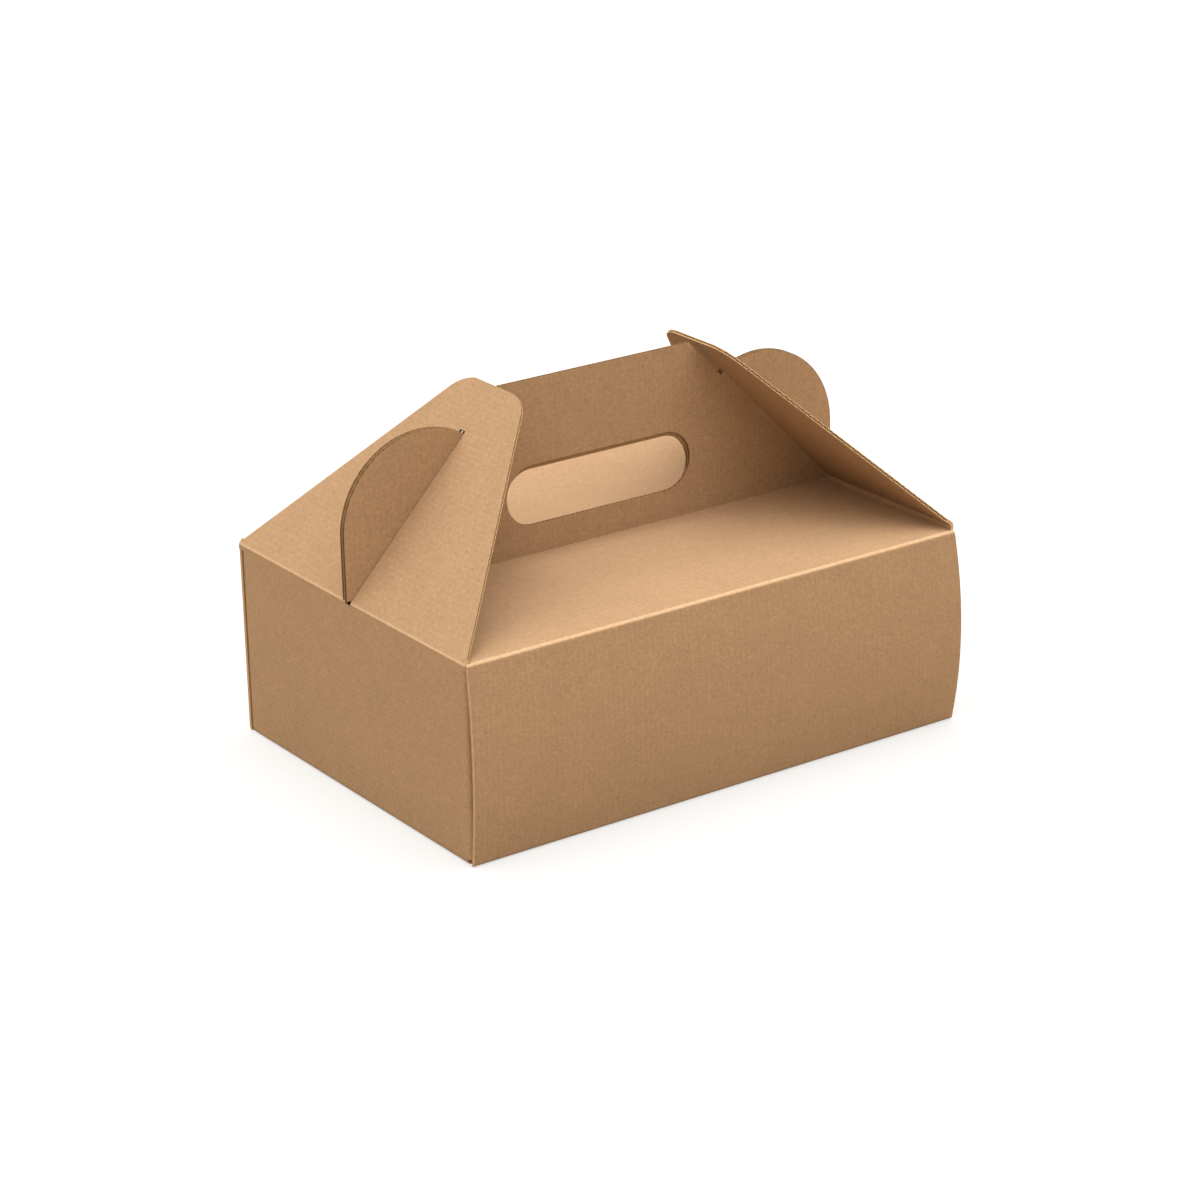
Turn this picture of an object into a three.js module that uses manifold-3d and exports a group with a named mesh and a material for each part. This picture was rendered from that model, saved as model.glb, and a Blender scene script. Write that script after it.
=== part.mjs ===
// Carry tray box: one die-cut sheet of corrugated board, folded into a tray with a two-part lid,
// a standing double handle and two gable end flaps that hook over the handle's round ears.
//
// Millimetres, +Z up. X runs along the box, Y across it, and the front wall faces -Y.
// The origin is at the middle of the whole box's footprint, on the surface it stands on.

import * as THREE from 'three';
import { mergeVertices } from 'three/addons/utils/BufferGeometryUtils.js';
import Module from 'manifold-3d';

const wasm = await Module();
wasm.setup();

// Driving dimensions

const boxLength = 315;
const boxWidth = 225;
const lidHeight = 110;

const boardThickness = 1.8;
const lidFoldRadius = 2.2;
const baseFoldRadius = 2.1;
const cornerFoldRadius = 3.2;
const handleFootRadius = 0.4;
const backFoldRise = 1.9;

const handleRise = 97.8;
const earOverhang = 1.5;
const earRadius = 49.5;
const earCentreRise = 34;
const handHoleLength = 120;
const handHoleHeight = 33.5;
const handHoleRise = 33.6;
const handHoleOffset = 1.4;
const backPanelDrop = 2.9;

const flapAngle = THREE.MathUtils.degToRad(46.5);
const flapReach = 136;
const flapBaseWidth = 223;
const flapBaseShift = 1;
const flapTipWidth = 54;
const flapTipShift = -1.5;
const flapTipRadius = 20;
const slitToTip = 28.5;
const rightCreaseRise = 4;

const tabLength = 62;
const tabTaper = 6;

const frontBowLeft = 3;
const frontBowRight = 6.3;

// Clearances

const touchGap = 0.3;
const panelGap = 0.5;
const slitClearance = 0.45;
const handleSetback = 2.3;
const wallEndInset = 0.3;
const wallEndDrop = 3.5;
const tabFootGap = 1.2;
const tabTopGap = 0.6;
const earFootGap = 0.5;

// Sizes that follow

const halfLength = boxLength / 2;
const halfWidth = boxWidth / 2;
const halfBoard = boardThickness / 2;
const handleTop = lidHeight + handleRise;
const earHalfSpan = halfLength + earOverhang;
const wallHalf = halfLength - wallEndInset;
const panelMid = panelGap / 2 + halfBoard;
const tabFace = halfWidth - boardThickness - touchGap;
const slitWidth = 2 * boardThickness + panelGap + 2 * slitClearance;
const creaseRise = { left: 0, right: rightCreaseRise };
const footprintShift = Math.max(frontBowLeft, frontBowRight) / 2;

// Number of straight steps in curves
const foldSteps = 6;
const roundSteps = 10;
const earSteps = 22;
const bowRows = 12;
const bowColumns = 14;

// Small amount by which a cutter runs past the board that it cuts
const past = 5;

// Closed solid from a geometry, and back

function solidOf(geometry) {
  geometry.deleteAttribute('normal');
  geometry.deleteAttribute('uv');
  const merged = mergeVertices(geometry, 1e-5);
  const mesh = new wasm.Mesh({
    numProp: 3,
    vertProperties: new Float32Array(merged.attributes.position.array),
    triVerts: new Uint32Array(merged.index.array),
  });
  return new wasm.Manifold(mesh);
}

function geometryOf(solid) {
  const mesh = solid.getMesh();
  const geometry = new THREE.BufferGeometry();
  geometry.setAttribute('position', new THREE.BufferAttribute(new Float32Array(mesh.vertProperties), 3));
  geometry.setIndex(new THREE.BufferAttribute(new Uint32Array(mesh.triVerts), 1));
  return geometry;
}

function union(solids) {
  return solids.reduce((joined, next) => joined.add(next));
}

// Box between two corners

function block(low, high) {
  const size = high.map((value, axis) => value - low[axis]);
  const geometry = new THREE.BoxGeometry(...size);
  geometry.translate(...low.map((value, axis) => value + size[axis] / 2));
  return solidOf(geometry);
}

// An outline pushed along an axis. The outline's own x and y lie on the two axes that follow
// it in the order X, Y, Z: an outline extruded along X is drawn in (y, z), one along Y in (z, x).

function extrudeAlong(axis, points, from, to, steps = 1) {
  const geometry = new THREE.ExtrudeGeometry(new THREE.Shape(points), {
    depth: to - from,
    steps,
    bevelEnabled: false,
  });
  geometry.translate(0, 0, from);
  const [x, y, z] = [new THREE.Vector3(1, 0, 0), new THREE.Vector3(0, 1, 0), new THREE.Vector3(0, 0, 1)];
  const frames = { x: [y, z, x], y: [z, x, y], z: [x, y, z] };
  geometry.applyMatrix4(new THREE.Matrix4().makeBasis(...frames[axis]));
  return geometry;
}

// Both faces of a strip of board that runs through the given corners of its mid-line. Each corner
// is [u, v, radius of the fold on the mid-line, rows that the flat before it is split into].

function boardSection(corners) {
  const left = [];
  const right = [];
  const put = (point, direction) => {
    const normal = new THREE.Vector2(-direction.y, direction.x);
    left.push(point.clone().addScaledVector(normal, halfBoard));
    right.push(point.clone().addScaledVector(normal, -halfBoard));
  };
  const at = corners.map(([u, v]) => new THREE.Vector2(u, v));
  const heading = (i) => at[i + 1].clone().sub(at[i]).normalize();
  let last = at[0];
  put(last, heading(0));
  for (let i = 1; i < at.length; i += 1) {
    const [, , radius = 0, rows = 1] = corners[i];
    const into = heading(i - 1);
    const outOf = i + 1 < at.length ? heading(i) : into;
    const turn = Math.atan2(into.cross(outOf), into.dot(outOf));
    const start = at[i].clone().addScaledVector(into, -radius * Math.tan(Math.abs(turn) / 2));
    for (let row = 1; row <= rows; row += 1) {
      put(last.clone().lerp(start, row / rows), into);
    }
    last = start;
    const inwards = new THREE.Vector2(-into.y, into.x).multiplyScalar(radius * Math.sign(turn));
    const centre = start.clone().add(inwards);
    for (let step = 1; step <= foldSteps && radius > 0; step += 1) {
      const angle = (turn * step) / foldSteps;
      last = start.clone().rotateAround(centre, angle);
      put(last, into.clone().rotateAround(new THREE.Vector2(), angle));
    }
  }
  return [...left, ...right.reverse()];
}

// Points of an arc, from one angle to another

function arc(centreX, centreY, radius, from, to, steps) {
  const points = [];
  for (let step = 0; step <= steps; step += 1) {
    const angle = from + ((to - from) * step) / steps;
    points.push(new THREE.Vector2(centreX + radius * Math.cos(angle), centreY + radius * Math.sin(angle)));
  }
  return points;
}

// Long strip of the sheet: front handle panel, front lid half, front wall, base, back wall,
// back lid half and back handle panel, all in one cross-section drawn in (y, z).
// The back lid half climbs a little from the handle to the back wall's fold.

const midLid = lidHeight - halfBoard;
const midWall = halfWidth - halfBoard;
const footFold = handleFootRadius + halfBoard;
const lidFold = lidFoldRadius - halfBoard;
const baseFold = baseFoldRadius - halfBoard;

const stripCorners = [
  [-panelMid, handleTop],
  [-panelMid, midLid, footFold],
  [-midWall, midLid, lidFold],
  [-midWall, halfBoard, baseFold, bowRows],
  [midWall, halfBoard, baseFold],
  [midWall, midLid + backFoldRise, lidFold],
  [panelMid, midLid, footFold],
  [panelMid, handleTop - backPanelDrop],
];

// How far the front wall bellies out: nothing at its folds, most halfway up, more towards the right

function frontBow(x, z) {
  const low = baseFoldRadius;
  const high = lidHeight - lidFoldRadius;
  const up = THREE.MathUtils.clamp((z - low) / (high - low), 0, 1);
  const along = THREE.MathUtils.clamp((x + halfLength) / boxLength, 0, 1);
  return 4 * up * (1 - up) * THREE.MathUtils.lerp(frontBowLeft, frontBowRight, along);
}

function makeStrip() {
  const geometry = extrudeAlong('x', boardSection(stripCorners), -earHalfSpan, earHalfSpan, bowColumns);
  const place = geometry.attributes.position;
  for (let i = 0; i < place.count; i += 1) {
    if (place.getY(i) < -halfWidth + boardThickness + touchGap / 2) {
      place.setY(i, place.getY(i) - frontBow(place.getX(i), place.getZ(i)));
    }
  }
  return solidOf(geometry);
}

// Half length of the lid towards one end: short of the end wall, and of the flap that leans over it

function lidReach(rise) {
  const underFlap = halfBoard + touchGap + (halfBoard - rise) * Math.cos(flapAngle);
  const inset = halfBoard + underFlap / Math.sin(flapAngle);
  return halfLength - Math.max(inset, boardThickness + touchGap);
}

// Outline of the two handle panels seen from the front: a straight top, a slanted end under each
// flap, and a round ear past it that ends square on the lid

function handleOutline() {
  const ear = new THREE.Vector2(earHalfSpan - earRadius, lidHeight + earCentreRise);
  const up = new THREE.Vector2(-Math.cos(flapAngle), Math.sin(flapAngle));
  const corner = new THREE.Vector2(halfLength, lidHeight);
  corner.add(new THREE.Vector2(-Math.sin(flapAngle), -Math.cos(flapAngle)).multiplyScalar(handleSetback));
  const toEar = ear.clone().sub(corner);
  const along = toEar.dot(up);
  const aside = toEar.cross(up);
  const notch = corner.clone().addScaledVector(up, along + Math.sqrt(earRadius ** 2 - aside ** 2));
  const topEnd = corner.clone().addScaledVector(up, (handleTop - corner.y) / up.y);
  const notchAngle = Math.atan2(notch.y - ear.y, notch.x - ear.x);
  const foot = lidHeight + earFootGap;
  const half = (rise) => [
    new THREE.Vector2(lidReach(rise), foot - past),
    new THREE.Vector2(lidReach(rise), foot),
    new THREE.Vector2(earHalfSpan, foot),
    ...arc(ear.x, ear.y, earRadius, 0, notchAngle, earSteps),
    topEnd,
  ];
  const left = half(creaseRise.left).map((point) => new THREE.Vector2(-point.x, point.y));
  return [...half(creaseRise.right), ...left.reverse()];
}

// A plate drawn in (x, z) and as thick as the given stretch of Y

function plateAcross(points, from, to) {
  const swapped = points.map((point) => new THREE.Vector2(point.y, point.x));
  return solidOf(extrudeAlong('y', swapped, from, to));
}

function handHole(height, from, to) {
  const radius = handHoleHeight / 2;
  const reach = handHoleLength / 2 - radius;
  const quarter = Math.PI / 2;
  const points = [
    ...arc(handHoleOffset + reach, height, radius, -quarter, quarter, roundSteps),
    ...arc(handHoleOffset - reach, height, radius, quarter, 3 * quarter, roundSteps),
  ];
  return plateAcross(points, from, to);
}

// What is cut from the back lid half at one end. Its edge leans inwards as the lid climbs.

function backLidEnd(side, rise, shoulder) {
  const atHandle = lidReach(rise);
  const atBack = lidReach(rise - backFoldRise);
  const lean = (atBack - atHandle) / halfWidth;
  const outer = earHalfSpan + past;
  const wide = halfWidth + past;
  const points = [
    new THREE.Vector2(side * (atHandle + lean * past), past),
    new THREE.Vector2(side * (atHandle + lean * wide), wide),
    new THREE.Vector2(side * outer, wide),
    new THREE.Vector2(side * outer, past),
  ];
  return solidOf(extrudeAlong('z', points, shoulder, lidHeight + backFoldRise + past));
}

function trimStrip(strip) {
  const outer = earHalfSpan + past;
  const wide = halfWidth + frontBowLeft + frontBowRight + past;
  const shoulder = lidHeight - wallEndDrop;
  const above = block([-outer, -past, lidHeight - past], [outer, past, handleTop + past]);
  const panels = plateAcross(handleOutline(), -2 * past, 2 * past);
  const holeHeight = lidHeight + handHoleRise;
  const cuts = [above.subtract(panels)];
  cuts.push(handHole(holeHeight, -past, 0));
  cuts.push(handHole(holeHeight - backPanelDrop, 0, past));
  for (const side of [-1, 1]) {
    const beyond = (reach, y, z) => {
      const xs = [side * reach, side * outer].sort((a, b) => a - b);
      return block([xs[0], y[0], z[0]], [xs[1], y[1], z[1]]);
    };
    const rise = side < 0 ? creaseRise.left : creaseRise.right;
    const flatBase = halfWidth - baseFoldRadius;
    cuts.push(beyond(lidReach(rise), [-wide, -past], [shoulder, lidHeight + past]));
    cuts.push(backLidEnd(side, rise, shoulder));
    cuts.push(beyond(wallHalf, [-wide, wide], [-past, shoulder]));
    cuts.push(beyond(halfLength - baseFoldRadius, [-flatBase, flatBase], [-past, past]));
  }
  return strip.subtract(union(cuts));
}

// End wall with its two corner tabs, drawn in (x, y) and pushed up. The fold at its foot joins the
// base, and its top edge is rounded under the flap's crease.

const tabFoot = boardThickness + tabFootGap;
const tabTop = lidHeight - boardThickness - tabTopGap;
const wallStraight = tabFace - cornerFoldRadius;

function endWallPlate(side, top) {
  const midFace = side * (halfLength - halfBoard);
  const midTab = tabFace - halfBoard;
  const fold = cornerFoldRadius - halfBoard;
  const tabEnd = side * (halfLength - tabLength);
  const section = boardSection([
    [tabEnd, -midTab],
    [midFace, -midTab, fold],
    [midFace, midTab, fold],
    [tabEnd, midTab],
  ]);
  return solidOf(extrudeAlong('z', section, tabFoot, top));
}

function endWallFoot(side) {
  const midFace = side * (halfLength - halfBoard);
  const section = boardSection([
    [halfBoard, side * (halfLength - 2 * baseFoldRadius)],
    [halfBoard, midFace, baseFold],
    [tabFoot + baseFoldRadius, midFace],
  ]);
  return solidOf(extrudeAlong('y', section, -wallStraight, wallStraight));
}

function endWallRim(side, top) {
  const midFace = side * (halfLength - halfBoard);
  const section = [
    new THREE.Vector2(midFace + halfBoard, top - halfBoard),
    ...arc(midFace, top, halfBoard, 0, Math.PI, foldSteps),
    new THREE.Vector2(midFace - halfBoard, top - halfBoard),
  ];
  return plateAcross(section, -wallStraight, wallStraight);
}

// What is cut from the tabs: all above their top edge, and a sliver that tapers each free corner

function tabWaste(side, top) {
  const near = side * (halfLength - boardThickness);
  const far = side * (halfLength - tabLength - past);
  const low = [Math.min(near, far), -halfWidth, tabTop];
  const high = [Math.max(near, far), halfWidth, top + past];
  const sliver = (edge, towards) =>
    plateAcross(
      [
        new THREE.Vector2(side * (halfLength - tabLength / 2), edge),
        new THREE.Vector2(far, edge),
        new THREE.Vector2(far, edge + tabTaper * towards),
      ],
      -halfWidth,
      halfWidth,
    );
  return union([block(low, high), sliver(tabTop, -1), sliver(tabFoot, 1)]);
}

function makeEndWall(side, creaseHeight) {
  const top = creaseHeight - boardThickness - touchGap - halfBoard;
  const plate = endWallPlate(side, top).subtract(tabWaste(side, top));
  return union([plate, endWallFoot(side), endWallRim(side, top)]);
}

function makeSheet() {
  const strip = trimStrip(makeStrip());
  return union([
    strip,
    makeEndWall(-1, lidHeight + creaseRise.left),
    makeEndWall(1, lidHeight + creaseRise.right),
  ]);
}

// End flap, drawn lying flat along +X from its crease at the origin, outer face up.
// It is a plate with a round edge at the crease, cut to a trapezoid with round tip corners,
// with a slit up its middle. Its base lies a little to the box's back and its tip to the front.

function flapOutline(reach, backwards) {
  const baseEnd = (side) => backwards * flapBaseShift + (side * flapBaseWidth) / 2;
  const tipEnd = (side) => backwards * flapTipShift + (side * flapTipWidth) / 2;
  const corner = (side) => {
    const base = new THREE.Vector2(0, baseEnd(side));
    const tip = new THREE.Vector2(reach, tipEnd(side));
    const slope = tip.clone().sub(base).normalize();
    const lean = Math.atan2(Math.abs(slope.y), slope.x);
    const tangent = flapTipRadius * Math.tan((Math.PI / 2 - lean) / 2);
    const centreY = tipEnd(side) - side * tangent;
    const start = side * (Math.PI / 2 - lean);
    return arc(reach - flapTipRadius, centreY, flapTipRadius, start, 0, roundSteps);
  };
  return [
    new THREE.Vector2(-past, baseEnd(-1)),
    new THREE.Vector2(0, baseEnd(-1)),
    ...corner(-1),
    ...corner(1).reverse(),
    new THREE.Vector2(0, baseEnd(1)),
    new THREE.Vector2(-past, baseEnd(1)),
  ];
}

function makeFlap(reach, backwards) {
  const quarter = Math.PI / 2;
  const edge = [
    ...arc(0, 0, halfBoard, quarter, 3 * quarter, foldSteps),
    new THREE.Vector2(reach + past, -halfBoard),
    new THREE.Vector2(reach + past, halfBoard),
  ];
  const plate = plateAcross(edge, -halfWidth - past, halfWidth + past);
  const outline = solidOf(extrudeAlong('z', flapOutline(reach, backwards), -past, past));
  const slit = block([-past, -slitWidth / 2, -past], [reach - slitToTip, slitWidth / 2, past]);
  return plate.intersect(outline).subtract(slit);
}

// Materials

function board(colour) {
  return new THREE.MeshStandardMaterial({ color: colour, roughness: 0.93, metalness: 0 });
}

// Scene graph

const box = new THREE.Group();
box.position.y = footprintShift;

const sheet = new THREE.Mesh(geometryOf(makeSheet()), board(0xb58a5e));
sheet.name = 'folded_sheet';
box.add(sheet);

function addFlap(name, side, creaseHeight) {
  const solid = makeFlap(lidHeight + flapReach - creaseHeight, -side);
  const flap = new THREE.Mesh(geometryOf(solid), board(0xcda277));
  flap.name = name;
  flap.rotation.y = -flapAngle;
  const crease = new THREE.Group();
  crease.position.set(side * (halfLength - halfBoard), 0, creaseHeight - halfBoard);
  crease.rotation.z = side > 0 ? Math.PI : 0;
  crease.add(flap);
  box.add(crease);
}

addFlap('left_end_flap', -1, lidHeight + creaseRise.left);
addFlap('right_end_flap', 1, lidHeight + creaseRise.right);

export default box;
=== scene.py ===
# %% [markdown]
# # A kraft board carry box
#
# The object is a small carry box, die-cut from one sheet of corrugated kraft board and folded.
# A long strip makes the base, two walls, two lid halves and a double handle. The end walls close
# it, and each carries a flap with a slit that hooks over the handle's round ears.
#
# CAD gives the frame: plain closed solids at the size estimated for the real box, with a hinge at
# each end flap. This script dresses that frame. It rebuilds the board of the handle and the flaps
# as what it is, two thin paper liners glued to a wavy paper between them, so that their cut edges
# show real flutes. The strip and the end walls have liners round a plain core.

import math

import bmesh
import bpy
from mathutils import Matrix, Vector


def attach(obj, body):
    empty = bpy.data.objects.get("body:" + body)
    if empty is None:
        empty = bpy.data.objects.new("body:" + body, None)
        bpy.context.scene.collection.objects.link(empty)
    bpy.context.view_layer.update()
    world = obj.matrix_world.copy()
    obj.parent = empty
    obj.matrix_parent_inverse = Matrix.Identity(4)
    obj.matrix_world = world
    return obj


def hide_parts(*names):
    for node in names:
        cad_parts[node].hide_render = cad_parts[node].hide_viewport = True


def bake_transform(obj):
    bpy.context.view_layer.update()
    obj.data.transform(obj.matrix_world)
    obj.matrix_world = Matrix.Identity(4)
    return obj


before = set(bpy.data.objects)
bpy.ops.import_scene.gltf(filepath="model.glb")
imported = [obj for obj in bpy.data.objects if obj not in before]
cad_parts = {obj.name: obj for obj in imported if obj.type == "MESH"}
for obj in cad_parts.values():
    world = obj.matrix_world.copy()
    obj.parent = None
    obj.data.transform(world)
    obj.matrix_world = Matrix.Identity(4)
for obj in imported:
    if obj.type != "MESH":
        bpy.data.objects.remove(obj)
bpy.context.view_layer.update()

# %% [markdown]
# ## Sizes
#
# All sizes are in millimetres, as on a drawing, and MM turns them into Blender's metres. They
# repeat the sizes of the CAD part, so that what is made here lands where the solids are.

# %% Sizes of the box
MM = 0.001

BOX_LENGTH = 315.0
BOX_WIDTH = 225.0
LID_HEIGHT = 110.0
HALF_LENGTH = BOX_LENGTH / 2
HALF_WIDTH = BOX_WIDTH / 2

BOARD = 1.8
HALF_BOARD = BOARD / 2
# the gap between two parts of the sheet that would touch
TOUCH_GAP = 0.3

# radii of the folds: the outer ones of lid, base and corners, the inner one at the handle's foot
LID_FOLD = 2.2
BASE_FOLD = 2.1
CORNER_FOLD = 3.2
HANDLE_FOOT = 0.4

# the back lid half climbs this much from the handle to its fold
BACK_RISE = 1.9

# the left crease is level with the lid and the right one is higher
RIGHT_CREASE_RISE = 4.0
LEFT_CREASE = LID_HEIGHT
RIGHT_CREASE = LID_HEIGHT + RIGHT_CREASE_RISE

# the slope of the flaps at rest, in degrees and in radians
FLAP_SLOPE = 46.5
FLAP_ANGLE = math.radians(FLAP_SLOPE)

# the middle of the walls lies this far behind the origin, because the front wall bellies out
SHIFT_Y = 3.15
BELLY_LEFT = 3.0
BELLY_RIGHT = 6.3

# %% [markdown]
# ## Camera
#
# The numbers that place the camera were fitted to the edges of the photographed box: the angle
# round it, the angle above it, a slight roll, the distance, the point aimed at with a shift across
# the picture, and the lens. The camera's three axes are built from the angles, and they become the
# columns of its matrix.


# %% Camera
def place_camera(azimuth, elevation, roll, distance, aim, shift, lens):
    az, el, turn = map(math.radians, (azimuth, elevation, roll))
    back = Vector((math.sin(az) * math.cos(el), -math.cos(az) * math.cos(el), math.sin(el)))
    level_right = (-back).cross(Vector((0, 0, 1))).normalized()
    level_up = level_right.cross(-back)
    right = math.cos(turn) * level_right + math.sin(turn) * level_up
    up = -math.sin(turn) * level_right + math.cos(turn) * level_up
    target = Vector(aim) + level_right * shift[0] + level_up * shift[1]
    place = (target + back * distance) * MM
    bpy.ops.object.camera_add()
    camera = bpy.context.object
    camera.name = "photo_camera"
    axes = Matrix((right, up, back)).transposed().to_4x4()
    camera.matrix_world = Matrix.Translation(place) @ axes
    camera.data.lens = lens
    camera.data.sensor_width = 36.0
    camera.data.clip_end = 50.0
    bpy.context.scene.camera = camera
    return camera


camera = place_camera(
    azimuth=-34.74,
    elevation=21.13,
    roll=-1.181,
    distance=1984.8,
    aim=(0, SHIFT_Y, 54.95),
    shift=(1.04, 16.95),
    lens=109.21,
)
print("camera at", [round(v, 3) for v in camera.location], "metres")

# %% [markdown]
# ## Nodes and colours
#
# Paper colours are picked as sRGB hex values, the way a paint program shows them, but shaders
# work in linear light. One function converts them. Another clears a node tree, and a third adds a
# node to it, sets it up and links it, so that every material below reads as a list of what feeds
# what.


# %% Colour and node helpers
def linear(hex_colour):
    parts = [int(hex_colour[i : i + 2], 16) / 255 for i in (1, 3, 5)]
    return [p / 12.92 if p <= 0.04045 else ((p + 0.055) / 1.055) ** 2.4 for p in parts] + [1.0]


def empty_tree(owner):
    """Switches on the nodes of a material or a world, and clears them."""
    owner.use_nodes = True
    owner.node_tree.nodes.clear()
    return owner.node_tree


def add_node(tree, kind, inputs=(), **settings):
    node = tree.nodes.new(kind)
    for name, value in settings.items():
        setattr(node, name, value)
    for key, value in dict(inputs).items():
        if isinstance(value, bpy.types.NodeSocket):
            tree.links.new(value, node.inputs[key])
        else:
            node.inputs[key].default_value = value
    return node


# %% [markdown]
# ## Light, floor and background
#
# The box was photographed in soft light from all round, strongest from above, as a light tent
# gives. A world that gets brighter towards the zenith gives just that. The background is pure
# white, but only where it is looked at: Light Path tells the shader when a ray comes from the
# camera or from a reflection, and every other ray finds the tent's own light. The floor does the
# same and still shows the box's shadow.

# %% Soft tent light
HORIZON_LIGHT = 0.05
HORIZON_COLOUR = "#fff0da"
ZENITH_LIGHT = 3.5
ZENITH_COLOUR = "#ffffff"
# the light grows from horizon to zenith with this power of the height
LIGHT_FALL = 1.6


def seen_ray(tree):
    """1 for a ray from the camera or from a reflection, 0 for any other."""
    path = add_node(tree, "ShaderNodeLightPath")
    either = path.outputs["Is Camera Ray"]
    for name in ("Is Glossy Ray", "Is Transmission Ray"):
        either = add_node(
            tree, "ShaderNodeMath", {0: either, 1: path.outputs[name]}, operation="MAXIMUM"
        ).outputs[0]
    return either


def light_tent():
    world = bpy.data.worlds.new("light_tent")
    tree = empty_tree(world)
    sky = add_node(tree, "ShaderNodeTexCoord")
    axes = add_node(tree, "ShaderNodeSeparateXYZ", {0: sky.outputs["Generated"]})
    height = add_node(tree, "ShaderNodeMapRange", {"Value": axes.outputs["Z"]})
    spread = add_node(
        tree, "ShaderNodeMath", {0: height.outputs[0], 1: LIGHT_FALL}, operation="POWER"
    )
    colour = add_node(
        tree,
        "ShaderNodeMix",
        {"Factor": spread.outputs[0], 6: linear(HORIZON_COLOUR), 7: linear(ZENITH_COLOUR)},
        data_type="RGBA",
    )
    level = add_node(
        tree,
        "ShaderNodeMapRange",
        {"Value": spread.outputs[0], "To Min": HORIZON_LIGHT, "To Max": ZENITH_LIGHT},
    )
    tent = add_node(
        tree,
        "ShaderNodeBackground",
        {"Color": colour.outputs[2], "Strength": level.outputs[0]},
    )
    white = add_node(tree, "ShaderNodeBackground", {"Color": (1, 1, 1, 1), "Strength": 1.0})
    seen = seen_ray(tree)
    mix = add_node(tree, "ShaderNodeMixShader", {0: seen, 1: tent.outputs[0], 2: white.outputs[0]})
    add_node(tree, "ShaderNodeOutputWorld", {"Surface": mix.outputs[0]})
    bpy.context.scene.world = world


light_tent()
print("world:", bpy.context.scene.world.name)

# %% Floor
FLOOR_SIZE = 14
FLOOR_DROP = 0.2
# what the floor sends up onto the box
FLOOR_BOUNCE = (0.47, 0.43, 0.36, 1)
# what the eye sees of it: a grey that takes the shadow, and a glow that lifts it to white
FLOOR_GREY = (0.3, 0.3, 0.3, 1)
FLOOR_GLOW = 0.58


def floor_material():
    material = bpy.data.materials.new("white_table_paper")
    tree = empty_tree(material)
    bounced = add_node(tree, "ShaderNodeBsdfDiffuse", {"Color": FLOOR_BOUNCE})
    paper = add_node(tree, "ShaderNodeBsdfDiffuse", {"Color": FLOOR_GREY})
    glow = add_node(tree, "ShaderNodeEmission", {"Color": (1, 1, 1, 1), "Strength": FLOOR_GLOW})
    shown = add_node(tree, "ShaderNodeAddShader", {0: paper.outputs[0], 1: glow.outputs[0]})
    mix = add_node(
        tree,
        "ShaderNodeMixShader",
        {0: seen_ray(tree), 1: bounced.outputs[0], 2: shown.outputs[0]},
    )
    add_node(tree, "ShaderNodeOutputMaterial", {"Surface": mix.outputs[0]})
    return material


bpy.ops.object.select_all(action="DESELECT")
bpy.ops.mesh.primitive_plane_add(size=FLOOR_SIZE, location=(0, 0, -FLOOR_DROP * MM))
floor = bpy.context.object
floor.name = "floor"
floor.data.materials.append(floor_material())
print("floor:", floor.name)

# %% [markdown]
# ## Kraft paper
#
# Kraft liner is unbleached wood pulp, rolled in long sheets. Three things make it look real. The
# pulp is mottled and its fibres lie along the rolling direction, across the flutes. Dark and pale
# specks of bark and fibre are scattered on it. And the wavy paper glued behind it shows through as
# very faint ridges, one to each flute, which is called washboarding.
#
# The patterns read Object coordinates turned so that their X runs across the flutes of the piece,
# and scaled so that one unit is one millimetre.

# %% Kraft liner
FLUTE_PITCH = 3.23
PITCH_TURN = {
    "along_x": 0.0,
    "along_z": 90.0,
    "left_slope": FLAP_SLOPE,
    "right_slope": 180.0 - FLAP_SLOPE,
}

# each noise has a scale, a detail, a roughness and a stretch along the fibres; the first three
# end with how far they swing the tone up and down
CLOUDS = (0.035, 2.0, 0.6, 1.0, 0.025)
MOTTLE = (0.55, 3.0, 0.75, 1.3, 0.11)
FIBRES = (1.3, 3.0, 0.75, 1.5, 0.14)
GRIT = (1.8, 3.0, 0.65, 1.5)
# the part of the noise's range that counts: beyond it the tone stays at its limit
NOISE_RANGE = (0.3, 0.7)

# dots have the size of their cells, a radius, the share of cells with a dot, and their tone
DARK_SPECKS = (5.0, 0.55, 0.22, 0.72)
PALE_SPECKS = (4.1, 0.5, 0.18, 1.09)
# the share of a dot's radius that has its full tone
SPECK_CORE = 0.45

RIDGE_SHADE = 0.018
RIDGE_HEIGHT = 0.012
GRIT_HEIGHT = 0.05
ROUGHNESS = (0.8, 0.92)


def kraft_coordinates(tree, across):
    where = add_node(tree, "ShaderNodeTexCoord")
    return add_node(
        tree,
        "ShaderNodeMapping",
        {
            "Vector": where.outputs["Object"],
            "Rotation": (0, math.radians(PITCH_TURN[across]), 0),
            "Scale": (1000, 1000, 1000),
        },
    ).outputs[0]


def blotches(tree, millimetres, scale, detail, roughness, stretch):
    squeezed = add_node(
        tree, "ShaderNodeMapping", {"Vector": millimetres, "Scale": (1 / stretch, 1, 1)}
    )
    return add_node(
        tree,
        "ShaderNodeTexNoise",
        {"Vector": squeezed.outputs[0], "Scale": scale, "Detail": detail, "Roughness": roughness},
    ).outputs[0]


def between(tree, value, low, high, to_low, to_high):
    """The value mapped from one range to another, and kept inside it."""
    return add_node(
        tree,
        "ShaderNodeMapRange",
        {"Value": value, "From Min": low, "From Max": high, "To Min": to_low, "To Max": to_high},
    ).outputs[0]


def combine(tree, operation, first, second):
    return add_node(tree, "ShaderNodeMath", {0: first, 1: second}, operation=operation).outputs[0]


def product(tree, result, *factors):
    for factor in factors:
        result = combine(tree, "MULTIPLY", result, factor)
    return result


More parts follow.
